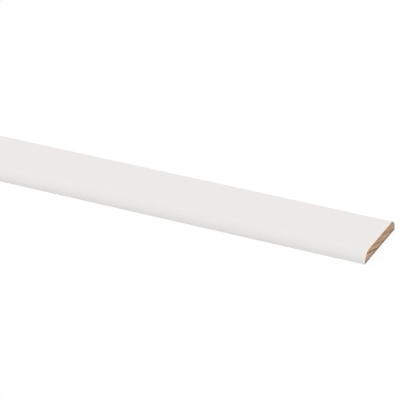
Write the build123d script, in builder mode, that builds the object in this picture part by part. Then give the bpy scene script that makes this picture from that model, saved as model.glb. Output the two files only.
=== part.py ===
"""Flat cover moulding in planed pine: one length, flat back, both front edges rounded, ends sawn square.

The length lies on its back along X, with the width along Y and the thickness along Z. The origin is on the
back face, at the middle of the length and of the width. All sizes are in millimetres.
"""

from build123d import *
import os

# Stock
length = 2400.0  # a length that such mouldings are sold in
width = 44.0
thickness = 7.0

# Section: each long edge rises square from the back as a narrow land, then rolls over on to the front face
edge_land = 1.0  # height of the square land that the cutter leaves above the back
back_arris = 0.3  # radius of the eased corners along the back, which keeps them from splintering

# The round takes all of the thickness that the land leaves, so it meets land and front face without a step
edge_radius = thickness - edge_land

with BuildPart() as cover_moulding:
    # The section stands at one sawn end, its back along the sketch's X axis and its front face above it
    with BuildSketch(Plane.YZ.offset(-length / 2)) as section:
        with BuildLine() as outline:
            back = Line((-width / 2, 0), (width / 2, 0))
            right_land = Line(back @ 1, (width / 2, edge_land))
            right_round = JernArc(right_land @ 1, right_land % 1, radius=edge_radius, arc_size=90)
            front = Line(right_round @ 1, (-width / 2 + edge_radius, thickness))
            left_round = JernArc(front @ 1, front % 1, radius=edge_radius, arc_size=90)
            Line(left_round @ 1, back @ 0)
        make_face()
        fillet(section.vertices().group_by(Axis.Y)[0], radius=back_arris)
    extrude(amount=length)

cover_moulding.part.label = "cover_moulding"

os.makedirs("parts", exist_ok=True)
export_step(cover_moulding.part, "parts/cover_moulding.step")
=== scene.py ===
from math import cos, pi, radians, sin

import bpy
import numpy as np
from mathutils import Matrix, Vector


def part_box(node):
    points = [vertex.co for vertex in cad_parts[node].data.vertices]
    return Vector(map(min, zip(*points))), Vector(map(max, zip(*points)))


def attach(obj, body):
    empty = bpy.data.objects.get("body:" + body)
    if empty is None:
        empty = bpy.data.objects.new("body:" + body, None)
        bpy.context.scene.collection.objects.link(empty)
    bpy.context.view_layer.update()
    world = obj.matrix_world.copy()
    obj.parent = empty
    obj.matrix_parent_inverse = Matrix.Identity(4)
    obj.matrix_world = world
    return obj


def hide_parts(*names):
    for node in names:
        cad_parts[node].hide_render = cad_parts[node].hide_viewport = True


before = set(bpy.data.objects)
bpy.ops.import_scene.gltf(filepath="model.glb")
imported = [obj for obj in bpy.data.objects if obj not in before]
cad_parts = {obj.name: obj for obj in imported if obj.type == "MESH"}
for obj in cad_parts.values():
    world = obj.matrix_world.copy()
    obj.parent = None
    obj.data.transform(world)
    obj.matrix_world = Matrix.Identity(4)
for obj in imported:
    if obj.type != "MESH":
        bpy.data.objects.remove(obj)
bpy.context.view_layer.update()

# The length of pine: one board of planed softwood, moulded along both front edges and sawn square at both
# ends. The back and the ends are bare. Everywhere else the wood lies under the paint, and this piece is
# smaller there by the thickness of the film.

# Sizes and places are in metres: x from the middle of the length, y from the middle of the width, and z up
# from the back
low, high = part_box("cover_moulding")
length = high.x - low.x
width = high.y - low.y
thickness = high.z - low.z
edge_land = 0.001
back_arris = 0.0003
edge_radius = thickness - edge_land
flat_half = width / 2 - edge_radius
film = 0.00015

# The film thins out round the back arris, between these two heights above the back
film_foot = 0.00005
film_full = 0.00035

# The heart of the tree lay below the board, and the rings cross the sawn end on a slope. Wide rings and
# narrow ones take turns. Along the board they drift with the taper of the trunk, wander and ripple.
ring_slope = radians(19)
heart_distance = 0.2
heart_y = -heart_distance * sin(ring_slope)
heart_z = thickness / 2 - heart_distance * cos(ring_slope)
ring_width = 0.0042
ring_start = 0.00045
ring_unevenness = 0.19
ring_wander = 0.012
ring_ripple = 0.0009
trunk_taper = 0.004

# Each year from the heart outwards: how heavy its summer wood is, and how far into the ring that begins
summers = (
    (0.6, 0.5), (0.9, 0.7), (0.5, 0.4), (0.8, 0.65), (0.6, 0.5), (0.9, 0.7), (0.7, 0.45), (1.0, 0.62),
    (1.0, 0.68), (0.6, 0.6), (0.48, 0.5), (0.1, 0.1), (0.7, 0.6), (0.6, 0.5), (0.8, 0.65),
)

# The year that begins near the middle of the board, how much of a ring the change to summer wood takes, and
# how far into the ring the summer wood begins to end
middle_year = 10
summer_rise = 0.2
winter_start = 0.965

# The circular saw: where its arbor was as it cut an end, how far apart its teeth marked the wood, and how
# unsteadily it ran
blade_y = -0.09
blade_z = -0.12
tooth_pitch = 0.0008
blade_wobble = 0.0006

# Linear colours of a sawn end: the wood of spring and of summer, and where the wood is dusty, warm or cool
end_pale = (0.592, 0.376, 0.243, 1)
end_dark = (0.19, 0.088, 0.043, 1)
end_dusty = (0.53, 0.385, 0.345, 1)
end_orange = (0.52, 0.27, 0.15, 1)
end_cool = (0.40, 0.31, 0.24, 1)

# Darker colours of a sawn end: along the back, round the far edge, and close under the paint
rim_grey = (0.16, 0.145, 0.125, 1)
tip_grey = (0.19, 0.19, 0.18, 1)
under_paint = (0.36, 0.265, 0.20, 1)

# The planed back, the resin in the wood, and primer on bare wood
back_pale = (0.70, 0.51, 0.33, 1)
back_dark = (0.46, 0.255, 0.12, 1)
resin_brown = (0.20, 0.10, 0.045, 1)
primer_cream = (0.80, 0.72, 0.63, 1)


class Wire:
    """A socket in a node tree. Operators on it add Math nodes, and node() adds every other kind of node."""

    def __init__(self, tree, socket=None):
        self.tree = tree
        self.socket = socket

    def node(self, kind, settings=None, feeds=None):
        """Adds a node: first its settings, then the value or link of each input, by name or by number."""
        made = self.tree.nodes.new(kind)
        for name, value in (settings or {}).items():
            if name == "stops":
                ramp = made.color_ramp
                ramp.interpolation = "CONSTANT"
                while len(ramp.elements) < len(value):
                    ramp.elements.new(1)
                for stop, (position, colour) in zip(ramp.elements, value):
                    stop.position = position
                    stop.color = colour
            else:
                setattr(made, name, value)
        for name, value in (feeds or {}).items():
            named = [port for port in made.inputs if port.name == name and port.enabled]
            port = named[0] if named else made.inputs[name]
            if isinstance(value, Wire):
                self.tree.links.new(value.socket, port)
            else:
                port.default_value = value
        outputs = [port for port in made.outputs if port.enabled]
        return Wire(self.tree, outputs[0] if outputs else None)

    def out(self, name):
        """The output of that name on the node that this socket belongs to."""
        found = [port for port in self.socket.node.outputs if port.name == name and port.enabled]
        return Wire(self.tree, found[0])

    def math(self, operation, *others):
        """A Math node on this number and the others."""
        return self.node("ShaderNodeMath", {"operation": operation}, dict(enumerate((self, *others))))

    def __add__(self, other):
        return self.math("ADD", other)

    __radd__ = __add__

    def __sub__(self, other):
        return self.math("SUBTRACT", other)

    def __rsub__(self, other):
        return self.node("ShaderNodeMath", {"operation": "SUBTRACT"}, {0: other, 1: self})

    def __mul__(self, other):
        return self.math("MULTIPLY", other)

    __rmul__ = __mul__

    def __truediv__(self, other):
        return self.math("DIVIDE", other)

    def __pow__(self, power):
        return self.math("POWER", power)

    def __abs__(self):
        return self.math("ABSOLUTE")

    def __gt__(self, other):
        return self.math("GREATER_THAN", other)

    def least(self, other):
        """The smaller of the two numbers."""
        return self.math("MINIMUM", other)

    def most(self, other):
        """The larger of the two numbers."""
        return self.math("MAXIMUM", other)

    def fade(self, start, end):
        """Goes smoothly from 0 where the value is start to 1 where it is end."""
        ends = {"Value": self, "From Min": start, "From Max": end}
        return self.node("ShaderNodeMapRange", {"interpolation_type": "SMOOTHSTEP"}, ends)

    def wane(self, start, end):
        """Goes smoothly from 1 where the value is start to 0 where it is end."""
        return 1 - self.fade(start, end)

    def parts(self):
        """The three numbers of a vector."""
        split = self.node("ShaderNodeSeparateXYZ", None, {0: self})
        return split, split.out("Y"), split.out("Z")

    def spot(self, y, z):
        """The vector with this number as its x."""
        return self.node("ShaderNodeCombineXYZ", None, {"X": self, "Y": y, "Z": z})

    def times(self, scales):
        """This vector with each of its numbers multiplied by its own scale."""
        return self.node("ShaderNodeVectorMath", {"operation": "MULTIPLY"}, {0: self, 1: scales})

    def noise(self, across, seed, along=1.0, detail=2.0):
        """Noise round this place from 0 to 1, its patches so wide across the grain and so long along it."""
        finer = self.times((1 / along, 1 / across, 1 / across))
        elsewhere = (seed, -seed, seed / 2)
        moved = self.node("ShaderNodeVectorMath", {"operation": "ADD"}, {0: finer, 1: elsewhere})
        return self.node("ShaderNodeTexNoise", None, {"Vector": moved, "Scale": 1.0, "Detail": detail})

    def between(self, first, second):
        """The first colour where this number is 0, the second where it is 1."""
        return self.node("ShaderNodeMix", {"data_type": "RGBA"}, {"Factor": self, "A": first, "B": second})

    def shade(self, amount):
        """This colour made lighter or darker."""
        return self.node("ShaderNodeVectorMath", {"operation": "SCALE"}, {0: self, "Scale": amount})


def start_finish(name):
    """A new material with no nodes in it yet. Gives it and a wire on its tree."""
    finish = bpy.data.materials.new(name)
    finish.use_nodes = True
    finish.node_tree.nodes.clear()
    return finish, Wire(finish.node_tree)


def end_finish(colour, roughness, gloss, relief):
    """Ends a material with a surface of this colour, roughness and gloss, and a relief in metres."""
    bump = colour.node("ShaderNodeBump", None, {"Strength": 1.0, "Distance": 1.0, "Height": relief})
    looks = {"Base Color": colour, "Roughness": roughness, "Specular IOR Level": gloss, "Normal": bump}
    surface = colour.node("ShaderNodeBsdfPrincipled", None, looks)
    colour.node("ShaderNodeOutputMaterial", None, {"Surface": surface})


def outward_from_heart(place):
    """How far a place lies outwards from the middle of the board, square to the growth rings."""
    x, y, z = place.parts()
    from_sawn_end = length / 2 - x
    wander = (place.noise(0.5, along=0.7, detail=1.0, seed=3.3) - 0.5) * from_sawn_end.fade(0, 0.5)
    ripple = place.noise(0.005, along=0.09, seed=7.7) - 0.5
    from_heart = ((y - heart_y) ** 2 + (z - heart_z) ** 2) ** 0.5
    even = from_heart - heart_distance - from_sawn_end * trunk_taper
    return even + wander * ring_wander + ripple * ring_ripple


def summer_wood(place):
    """How dark the growth ring is at a place, from 0 in spring wood to 1 at the end of a heavy summer."""
    steady = (outward_from_heart(place) - ring_start) / ring_width
    year = steady + ring_unevenness * (steady * pi).math("COSINE") + middle_year
    grown = year.math("FRACT")
    middle_of_year = year.math("FLOOR") + 0.5
    stops = [(count / len(summers), (*summer, 0, 1)) for count, summer in enumerate(summers)]
    chosen = year.node("ShaderNodeValToRGB", {"stops": stops}, {0: middle_of_year / len(summers)})
    heaviness, onset = chosen.parts()[:2]
    return grown.fade(onset, onset + summer_rise) * grown.wane(winter_start, 1.0) * heaviness


def saw_marks(place):
    """How deep the teeth of the saw went at a place on a sawn end, from 0 to 1."""
    y, z = place.parts()[1:]
    from_arbor = ((y - blade_y) ** 2 + (z - blade_z) ** 2) ** 0.5
    unsteady = from_arbor + place.noise(0.006, detail=1.0, seed=31.1) * blade_wobble
    teeth = unsteady * (2 * pi / tooth_pitch)
    bite = place.noise(0.003, detail=1.0, seed=37.7)
    return (0.5 + 0.5 * teeth.math("COSINE")) * bite


def depth_below_paint(place):
    """How far a place is inside the outline that carries the paint."""
    y, z = place.parts()[1:]
    beside = abs(y) - flat_half
    above = z - edge_land
    corner = (beside.most(0) ** 2 + above.most(0) ** 2) ** 0.5
    return edge_radius - corner - beside.most(above).least(0)


def start_rule(name, sizes):
    """A new tree of Geometry Nodes with a named input for each size. Gives the tree and a wire for each."""
    tree = bpy.data.node_groups.new(name, "GeometryNodeTree")
    for size in sizes:
        tree.interface.new_socket(name=size, in_out="INPUT", socket_type="NodeSocketFloat")
    tree.interface.new_socket(name="Geometry", in_out="OUTPUT", socket_type="NodeSocketGeometry")
    given = Wire(tree).node("NodeGroupInput")
    return tree, {size: given.out(size) for size in sizes}


# The board is measured out in bays along its length: 100 mm each in the middle, then ever shorter ones up to
# the sawn ends
middle_bays = 11
end_bays = 9
middle_bay = 0.1
bay_lines = 2 * (middle_bays + end_bays) + 1


def board_grid(tree, columns, layers):
    """A closed box with a section at each end of a bay, so many points across and so many through it. Gives
    the box and its three directions, each from -1 to 1."""
    counts = {"Size": (2, 2, 2), "Vertices X": bay_lines, "Vertices Y": columns, "Vertices Z": layers}
    box = Wire(tree).node("GeometryNodeMeshCube", None, counts)
    grid_place = box.node("GeometryNodeInputPosition")
    kept = box.node(
        "GeometryNodeStoreNamedAttribute",
        {"data_type": "FLOAT_VECTOR", "domain": "POINT"},
        {"Geometry": box, "Name": "grid_place", "Value": grid_place},
    )
    return kept, *grid_place.parts()


def stations(along, half_length, recess):
    """Where the sections lie along the board. Those close to a sawn end are cut back by the recess."""
    recess_reach = 0.001
    count = abs(along) * (middle_bays + end_bays)
    end_zone = half_length - middle_bays * middle_bay
    from_end = end_zone * (1 - (count - middle_bays).most(0) / end_bays) ** 3
    cut_back = from_end + recess * from_end.wane(0, recess_reach)
    return along.math("SIGN") * (count.least(middle_bays) * middle_bay + end_zone - cut_back)


def finish_rule(grid, place, material):
    """Moves the box's points to their places, sets its shading and material, and ends the tree."""
    crease_angle = radians(35)
    moved = grid.node("GeometryNodeSetPosition", None, {"Geometry": grid, "Position": place})
    smooth = grid.node("GeometryNodeSetShadeSmooth", {"domain": "FACE"}, {0: moved, "Shade Smooth": True})
    crease = grid.node("GeometryNodeInputMeshEdgeAngle") > crease_angle
    sharp = {0: smooth, "Selection": crease, "Shade Smooth": False}
    creased = grid.node("GeometryNodeSetShadeSmooth", {"domain": "EDGE"}, sharp)
    real = grid.node("GeometryNodeRealizeInstances", None, {0: creased})
    coloured = grid.node("GeometryNodeSetMaterial", None, {"Geometry": real, "Material": material})
    grid.node("NodeGroupOutput", None, {"Geometry": coloured})


def make_piece(name, tree, sizes, patches):
    """The piece that a tree describes at these sizes, as a plain mesh, with the map that it is baked on."""
    piece = bpy.data.objects.new(name, bpy.data.meshes.new(name))
    bpy.context.scene.collection.objects.link(piece)
    rule = piece.modifiers.new(name, "NODES")
    rule.node_group = tree
    for socket in tree.interface.items_tree:
        if socket.in_out == "INPUT":
            rule[socket.identifier] = sizes[socket.name]
    graph = bpy.context.evaluated_depsgraph_get()
    shape = bpy.data.meshes.new_from_object(
        piece.evaluated_get(graph), preserve_all_data_layers=True, depsgraph=graph
    )
    piece.modifiers.remove(rule)
    piece.data = shape
    lay_out_map(shape, patches)
    return piece


def lay_out_map(shape, patches):
    """Lays the faces side by side on one sheet. A patch is a side of the box, what runs along and across it,
    how many lengths it is cut into, and how high up the sheet it starts and ends."""
    margin = 0.004
    gutter = 0.02
    on_the_side = 1e-6
    corner = np.empty(len(shape.loops), dtype=np.int32)
    shape.loops.foreach_get("vertex_index", corner)
    spots = np.empty(len(shape.vertices) * 3, dtype=np.float32)
    shape.vertices.foreach_get("co", spots)
    grid = np.empty_like(spots)
    shape.attributes["grid_place"].data.foreach_get("vector", grid)
    both = np.concatenate([spots.reshape(-1, 3), grid.reshape(-1, 3)], axis=1)
    share = (both - both.min(axis=0)) / (both.max(axis=0) - both.min(axis=0))
    of_each_face = share[corner].reshape(-1, 4, 6).transpose(2, 0, 1)
    at_corner = dict(zip(("x", "y", "z", "along", "across", "through"), of_each_face))
    sheet = np.zeros((len(corner) // 4, 4, 2), dtype=np.float32)
    for side, end, run_name, rise_name, lengths, bottom, top in patches:
        here = np.all(np.abs(at_corner[side] - end) < on_the_side, axis=1)
        run = at_corner[run_name][here]
        rise = at_corner[rise_name][here]
        piece_of_run = np.clip(np.floor(run.mean(axis=1, keepdims=True) * lengths), 0, lengths - 1)
        each = (top - bottom) / lengths
        sheet[here, :, 0] = margin + (1 - 2 * margin) * (run * lengths - piece_of_run)
        sheet[here, :, 1] = bottom + each * (piece_of_run + gutter + (1 - 2 * gutter) * rise)
    shape.uv_layers.new(name="OFBake").data.foreach_set("uv", sheet.ravel())
    shape.attributes.remove(shape.attributes["grid_place"])


# Bare pine, as it shows on the sawn ends and on the planed back. What lies less than sawn_depth in from an
# end looks sawn, and what lies more than planed_depth in looks planed.
sawn_depth = 0.0004
planed_depth = 0.0006
pine, blank = start_finish("bare_pine")
place = blank.node("ShaderNodeTexCoord").out("Object")
x, y, z = place.parts()
sawn = (length / 2 - abs(x)).wane(sawn_depth, planed_depth)
summer = summer_wood(place)
fibres = place.noise(0.00022, along=0.025, detail=3.0, seed=11.3)
streaks = place.noise(0.0016, along=0.35, seed=17.9)
clouds = place.noise(0.009, along=0.3, seed=23.1)

# Rays run straight out from the heart, across the rings, and show only on the sawn ends
ray_width = 0.0003
ray_length = 0.004
ray_height = 0.01
outward = outward_from_heart(place)
along_ring = y * cos(ring_slope) - z * sin(ring_slope)
ray_place = (along_ring / ray_width).spot(outward / ray_length, x / ray_height)
rays = ray_place.noise(1, seed=5.1)

# Warm and cool weeks within a year leave fine bands between the rings
week_width = 0.0008
week_breadth = 0.012
week_length = 0.6
week_place = (outward / week_width).spot(along_ring / week_breadth, x / week_length)
weeks = week_place.noise(1, detail=3.0, seed=33.3)

# Resin canals stand as dots in the summer wood of a sawn end, and lie as short dark lines along the back
canals_per_metre = (30, 600, 600)
canal_core = 0.06
canal_wall = 0.12
canal_cells = {"Vector": place.times(canals_per_metre), "Scale": 1.0}
from_canal = place.node("ShaderNodeTexVoronoi", None, canal_cells)
canals = from_canal.wane(canal_core, canal_wall) * summer.fade(0.1, 0.5)

# The colour starts as spring wood and summer wood, with saw dust in the low near corner of a sawn end and
# resin in the canals
dust_cover = 0.9
resin_cover = 0.4
pale_wood = sawn.between(back_pale, end_pale)
dark_wood = sawn.between(back_dark, end_dark)
wood = summer.between(pale_wood, dark_wood)
dust = sawn * y.wane(-0.0205, -0.0095) * z.wane(0.0015, 0.006) * dust_cover
wood = dust.between(wood, end_dusty)
wood = (canals * resin_cover).between(wood, resin_brown)

# The hollows between fibres are darker, and streaks and clouds take the wood a little either way
fibre_shade = 0.16 * fibres.fade(0.3, 0.7)
streak_shade = 0.1 * (streaks - 0.5)
cloud_shade = 0.12 * (clouds - 0.5)
wood = wood.shade(0.84 + fibre_shade + streak_shade + cloud_shade)

# A sawn end is warm in some patches, most of them in its far half, and cool in others
warm_cover = 0.6
cool_cover = 0.3
tint = place.noise(0.0032, seed=91.7)
warmth = sawn * tint.fade(0.5, 0.68) * y.fade(-0.014, 0.0) * warm_cover
wood = warmth.between(wood, end_orange)
coolness = sawn * tint.wane(0.34, 0.48) * cool_cover
wood = coolness.between(wood, end_cool)

# It is mottled all over, its weeks show more than on the back, and it carries the rays and the saw's marks
mottle_shade = sawn * 0.9 * (place.noise(0.0011, seed=67.1) - 0.5)
wood = wood.shade(1 + mottle_shade)
week_shade = (0.5 + 0.6 * sawn) * (weeks - 0.5)
wood = wood.shade(1 + week_shade)
ray_shade = (rays - 0.5) * 0.25
saw_shade = saw_marks(place) * 0.08 - 0.05
wood = wood.shade(1 + sawn * (ray_shade - saw_shade))

# A sawn end is greyer and darker in a rim along the back, in the near corner and round the far edge.
# Close under the paint the wood is a little darker all round.
rim_width = 0.0019
back_cover = 0.75
near_cover = 0.7
far_cover = 0.9
paint_cover = 0.5
below_paint = depth_below_paint(place)
patchy = 0.6 + 0.8 * place.noise(0.0025, seed=83.9)
back_rim = z.wane(0.0003, rim_width) * back_cover * patchy
near_rim = z.wane(0.0006, 0.0022) * y.wane(-0.0215, -0.0165) * near_cover
far_rim = below_paint.wane(film, rim_width) * y.fade(0.012, 0.0205) * far_cover
paint_rim = below_paint.wane(0.0004, 0.0011) * paint_cover
wood = (back_rim.most(near_rim) * sawn).least(1).between(wood, rim_grey)
wood = (far_rim * sawn).between(wood, tip_grey)
wood = (paint_rim * sawn).between(wood, under_paint)

# Paint that ran a little way round on to the back, and the primer that soaked into the rim of the sawn ends
creep_least = 0.0002
creep_more = 0.0014
soak_width = 0.0002
soak_cover = 0.15
creep = creep_least + creep_more * place.noise(1, along=0.04, detail=3.0, seed=41.9).fade(0.5, 0.85)
ran_over = (width / 2 - abs(y)).wane(creep / 2, creep) * (1 - sawn)
soaked = below_paint.wane(film, film + soak_width) * soak_cover
wood = ran_over.most(soaked).between(wood, primer_cream)

# Relief: how far fibres and hard summer wood stand proud, and how deep the planer's knives and the canals go
fibre_height = 0.00003
summer_height = 0.00001
knife_depth = 0.000002
canal_depth = 0.00004
planer_pitch = 0.0018
knife_marks = (x * (2 * pi / planer_pitch)).math("COSINE") * (1 - sawn)
raised_wood = fibres * fibre_height + summer * summer_height
pine_relief = raised_wood + knife_marks * knife_depth - canals * canal_depth
pine_roughness = 0.6 + 0.1 * fibres + sawn * 0.15
end_finish(wood, pine_roughness, gloss=0.3, relief=pine_relief)

pine_sizes = {
    "Length": length,
    "Width": width,
    "Thickness": thickness,
    "Edge land": edge_land,
    "Back arris": back_arris,
    "Paint film": film,
    "Spring wood recess": 0.00006,
    "Saw mark depth": 0.00004,
    "Fibre roughness": 0.00004,
    "Torn edge depth": 0.00025,
}
pine_columns = 391
pine_layers = 55
pine_rule, given = start_rule("pine_rule", pine_sizes)
grid, along, across, through = board_grid(pine_rule, pine_columns, pine_layers)

# The section: columns spaced evenly along the front and its two rounds, each reaching up from the back
radius = given["Thickness"] - given["Edge land"] - given["Paint film"]
top_height = given["Thickness"] - given["Paint film"]
pine_edge = given["Width"] / 2 - given["Paint film"]
flat = pine_edge - radius
reach = abs(across) * (flat + radius * (pi / 2))
turn = ((reach - flat) / radius).most(0).least(pi / 2)
column_y = reach.least(flat) + radius * turn.math("SINE")
column_top = top_height - radius * (1 - turn.math("COSINE"))
arris = given["Back arris"]
into_arris = (column_y - (pine_edge - arris)).most(0)
column_foot = arris - (arris**2 - into_arris**2).most(0) ** 0.5
pine_z = column_foot + (column_top - column_foot) * (through + 1) / 2

# Where the paint thins out round the back arris, the wood comes out to nearly its full outline
swell_share = 0.9
swell_width = 0.0006
swell = swell_share * given["Paint film"] * pine_z.wane(film_foot, film_full)
pine_y = across.math("SIGN") * (column_y + swell * column_y.fade(pine_edge - swell_width, pine_edge))

# The sawn ends: hard summer wood stands proud, the saw leaves arcs, and fibres are torn out in places along
# the back. The paint holds the wood close to it.
held_width = 0.0006
torn_height = 0.0009
tear_start = 0.52
tear_full = 0.72
half_length = given["Length"] / 2
end_place = (along.math("SIGN") * half_length).spot(pine_y, pine_z)
held_by_paint = depth_below_paint(end_place).fade(film, film + held_width)
torn = end_place.noise(0.0011, seed=53.3).fade(tear_start, tear_full) * pine_z.wane(0, torn_height)
worn = (
    given["Spring wood recess"] * (1 - summer_wood(end_place))
    + given["Saw mark depth"] * saw_marks(end_place)
    + given["Fibre roughness"] * end_place.noise(0.00035, seed=59.9)
)
recess = worn * held_by_paint + given["Torn edge depth"] * torn
finish_rule(grid, stations(along, half_length, recess).spot(pine_y, pine_z), pine)

pine_length = make_piece(
    "pine_length",
    pine_rule,
    pine_sizes,
    [
        ("along", 1, "y", "z", 1, 0.0, 0.165),
        ("along", 0, "y", "z", 1, 0.17, 0.335),
        ("through", 0, "x", "y", 4, 0.34, 0.955),
        ("through", 1, "x", "across", 1, 0.96, 0.985),
        ("across", 0, "x", "through", 1, 0.987, 0.992),
        ("across", 1, "x", "through", 1, 0.994, 0.999),
    ],
)
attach(pine_length, "root")
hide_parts("cover_moulding")

# The coat of paint: off-white satin over primer, put on in a machine before the length was cut, so it ends
# in a sharp edge at the sawn ends. It covers the front and both moulded edges, and thins out round the back
# arrises.

paint_white = (0.828, 0.806, 0.792, 1)
paint_at_cut = (0.98, 0.81, 0.71, 1)
paint_over_wood = (0.80, 0.74, 0.66, 1)
paint_grey_at_far_cut = (0.40, 0.39, 0.375, 1)

paint, blank = start_finish("white_paint")
place = blank.node("ShaderNodeTexCoord").out("Object")
x, y, z = place.parts()
from_cut = length / 2 - abs(x)
raised_rings = summer_wood(place)
clouds = place.noise(0.015, along=0.12, seed=2.3)
grain = place.noise(0.0009, along=0.12, seed=17.9)

# The coat is warm along the cut, less so low down and not on the far round. There it turns grey.
line_start = 0.0002
line_width = 0.0014
far_cut_grey_width = 0.0012
far_cut_grey_cover = 0.85
line_strength = 0.45 + 0.55 * z.fade(0.001, 0.0035)
warm_line = from_cut.wane(line_start, line_width) * line_strength * y.wane(0.0115, 0.0167)
coat = warm_line.between(paint_white, paint_at_cut)
far_cut_grey = from_cut.wane(line_start, far_cut_grey_width) * y.fade(0.016, 0.019) * far_cut_grey_cover
coat = far_cut_grey.between(coat, paint_grey_at_far_cut)

# It is darker at the very edge of the cut, and the wood shows through at its thin foot
thin_cover = 0.6
cut_light = 0.82 + 0.18 * from_cut.fade(0.0001, 0.0002)
coat = coat.shade(cut_light)
thin = z.wane(0.00003, 0.0003) * thin_cover
coat = thin.between(coat, paint_over_wood)

# The sprayed coat is very slightly uneven, and the rings and grain of the pine show through it faintly
cloud_shade = 0.014 * clouds
ring_shade = 0.006 * raised_rings
grain_shade = 0.006 * (grain - 0.5)
coat = coat.shade(0.994 + cloud_shade - ring_shade + grain_shade)

# Relief: how high the spray's orange peel, the grain, the rings and the nibs of dust stand
peel_height = 0.000007
grain_height = 0.000009
ring_height = 0.00001
nib_height = 0.00002
nibs_per_metre = 45.0
nib_reach = 0.012
peel = place.noise(0.0016, along=0.0022, detail=1.0, seed=9.1)
from_nib = place.node("ShaderNodeTexVoronoi", None, {"Vector": place, "Scale": nibs_per_metre})
nibs = from_nib.wane(0.0, nib_reach)
raised_grain = grain * grain_height + raised_rings * ring_height
coat_relief = peel * peel_height + raised_grain + nibs * nib_height
coat_roughness = 0.36 + 0.05 * clouds + 0.04 * grain
end_finish(coat, coat_roughness, gloss=0.4, relief=coat_relief)

coat_sizes = {
    "Length": length,
    "Width": width,
    "Thickness": thickness,
    "Edge land": edge_land,
    "Back arris": back_arris,
    "Paint film": film,
    "Turn round the arris": radians(54),
    "Chip depth": 0.00008,
    "Cut edge rounding": 0.00004,
}
coat_columns = 351
coat_layers = 4
coat_rule, given = start_rule("coat_rule", coat_sizes)
grid, along, across, through = board_grid(coat_rule, coat_columns, coat_layers)

# The section: evenly over the front, round the edge, down the land and part of the way round the arris
arris = given["Back arris"]
radius = given["Thickness"] - given["Edge land"]
flat = given["Width"] / 2 - radius
land = given["Edge land"] - arris
round_end = flat + radius * (pi / 2)
reach = abs(across) * (round_end + land + arris * given["Turn round the arris"])
edge_turn = ((reach - flat) / radius).most(0).least(pi / 2)
down_land = (reach - round_end).most(0).least(land)
arris_turn = ((reach - round_end - land) / arris).most(0)
outer_y = reach.least(flat) + radius * edge_turn.math("SINE") - arris * (1 - arris_turn.math("COSINE"))
edge_top = given["Thickness"] - radius * (1 - edge_turn.math("COSINE"))
outer_z = edge_top - down_land - arris * arris_turn.math("SINE")

# Each layer of the film lies square below its outside
thinnest_share = 0.2
depth = given["Paint film"] * outer_z.fade(film_foot, film_full).most(thinnest_share) * (1 - through) / 2
facing = edge_turn + arris_turn
coat_y = across.math("SIGN") * (outer_y - depth * facing.math("SINE"))
coat_z = outer_z - depth * facing.math("COSINE")

# The cut edge of the film is a little chipped, and rounded over on its outside
chip_start = 0.45
chip_full = 0.75
half_length = given["Length"] / 2
end_place = (along.math("SIGN") * half_length).spot(coat_y, coat_z)
chips = end_place.noise(0.0005, seed=61.7).fade(chip_start, chip_full)
outwards = (through + 1) / 2
chipped = given["Chip depth"] * chips + given["Cut edge rounding"] * outwards**2
finish_rule(grid, stations(along, half_length, chipped).spot(coat_y, coat_z), paint)

paint_coat = make_piece(
    "paint_coat",
    coat_rule,
    coat_sizes,
    [
        ("through", 1, "x", "across", 4, 0.0, 0.94),
        ("through", 0, "x", "across", 1, 0.945, 0.965),
        ("along", 0, "across", "through", 1, 0.967, 0.977),
        ("along", 1, "across", "through", 1, 0.979, 0.989),
        ("across", 0, "x", "through", 1, 0.99, 0.994),
        ("across", 1, "x", "through", 1, 0.995, 0.999),
    ],
)
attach(paint_coat, "root")
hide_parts("cover_moulding")

# The floor: one wide plain sheet just under the back of the moulding. To the eye and in reflections it is
# nearly as white as the room, and it keeps a faint shadow where the moulding lies.

floor_half = 20
floor_drop = 0.00005
floor_grey = (0.735, 0.757, 0.765, 1)
floor_white = (1, 1, 1, 1)
shadow_kept = 0.12


def looked_at(blank):
    """1 where the camera looks, also in reflections and through glass, and 0 for the light on things."""
    camera_ray = blank.node("ShaderNodeLightPath").out("Is Camera Ray")
    return camera_ray.most(camera_ray.out("Is Glossy Ray")).most(camera_ray.out("Is Transmission Ray"))


floor_paint, blank = start_finish("floor")
seen = looked_at(blank)
matt = seen.node("ShaderNodeBsdfDiffuse", None, {"Color": seen.between(floor_grey, floor_white)})
white = seen.node("ShaderNodeEmission", None, {"Color": floor_white, "Strength": 1.0})
floor_surface = seen.node("ShaderNodeMixShader", None, {"Fac": seen * (1 - shadow_kept), 1: matt, 2: white})
seen.node("ShaderNodeOutputMaterial", None, {"Surface": floor_surface})

floor_shape = bpy.data.meshes.new("floor")
sides = [(-1, -1), (1, -1), (1, 1), (-1, 1)]
floor_corners = [(floor_half * a, floor_half * b, -floor_drop) for a, b in sides]
floor_shape.from_pydata(floor_corners, [], [(0, 1, 2, 3)])
floor_shape.materials.append(floor_paint)
floor = bpy.data.objects.new("floor", floor_shape)
bpy.context.scene.collection.objects.link(floor)

# The light: an even white room, and one broad soft lamp high up on the camera's side, beyond the right-hand
# end

room_level = 0.88
lamp_share = 0.12
lamp_height = radians(45)
lamp_side = radians(-38)
lamp_spread = radians(50)

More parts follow.
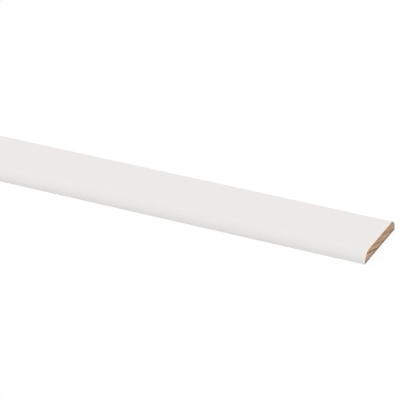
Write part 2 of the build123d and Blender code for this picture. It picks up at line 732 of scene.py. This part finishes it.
room = bpy.data.worlds.new("room")
bpy.context.scene.world = room
room.use_nodes = True
room.node_tree.nodes.clear()
seen = looked_at(Wire(room.node_tree))
room_light = {"Color": (1, 1, 1, 1), "Strength": room_level + (1 - room_level) * seen}
background = seen.node("ShaderNodeBackground", None, room_light)
seen.node("ShaderNodeOutputWorld", None, {"Surface": background})

lamp_data = bpy.data.lights.new("soft_lamp", "SUN")
lamp_data.energy = lamp_share * pi / sin(lamp_height)
lamp_data.angle = lamp_spread
lamp = bpy.data.objects.new("soft_lamp", lamp_data)
bpy.context.scene.collection.objects.link(lamp)
lamp_out = cos(lamp_height)
towards_lamp = Vector((lamp_out * cos(lamp_side), lamp_out * sin(lamp_side), sin(lamp_height)))
lamp.rotation_euler = towards_lamp.to_track_quat("Z", "Y").to_euler()

# The camera: a long lens looking down across the moulding from in front of it and beyond its right-hand end,
# level from side to side. Lens and sensor are in millimetres. The near corner of the back at that end shows
# at corner_pixel, corner_depth away.

lens = 191.262
sensor = 36
azimuth = radians(25.718)
elevation = radians(27.579)
corner_pixel = (364.789, 264.755)
corner_depth = 1.13058
frame_pixels = 400

across_view = Vector((cos(azimuth), sin(azimuth), 0))
level_view = Vector((-sin(azimuth), cos(azimuth), 0))
line_of_sight = level_view * cos(elevation) - Vector((0, 0, sin(elevation)))
up_view = level_view * sin(elevation) + Vector((0, 0, cos(elevation)))
pixel = corner_depth * sensor / lens / frame_pixels
board_corner = Vector((length / 2, -width / 2, 0))
rightwards = corner_pixel[0] - frame_pixels / 2
downwards = corner_pixel[1] - frame_pixels / 2
from_centre = across_view * rightwards - up_view * downwards

camera_data = bpy.data.cameras.new("camera")
camera_data.lens = lens
camera_data.sensor_width = sensor
camera_data.clip_start = 0.05
camera_data.clip_end = 100
camera = bpy.data.objects.new("camera", camera_data)
bpy.context.scene.collection.objects.link(camera)
camera.location = board_corner - from_centre * pixel - line_of_sight * corner_depth
camera.rotation_euler = line_of_sight.to_track_quat("-Z", "Y").to_euler()
bpy.context.scene.camera = camera
bpy.context.scene.view_settings.view_transform = "Standard"
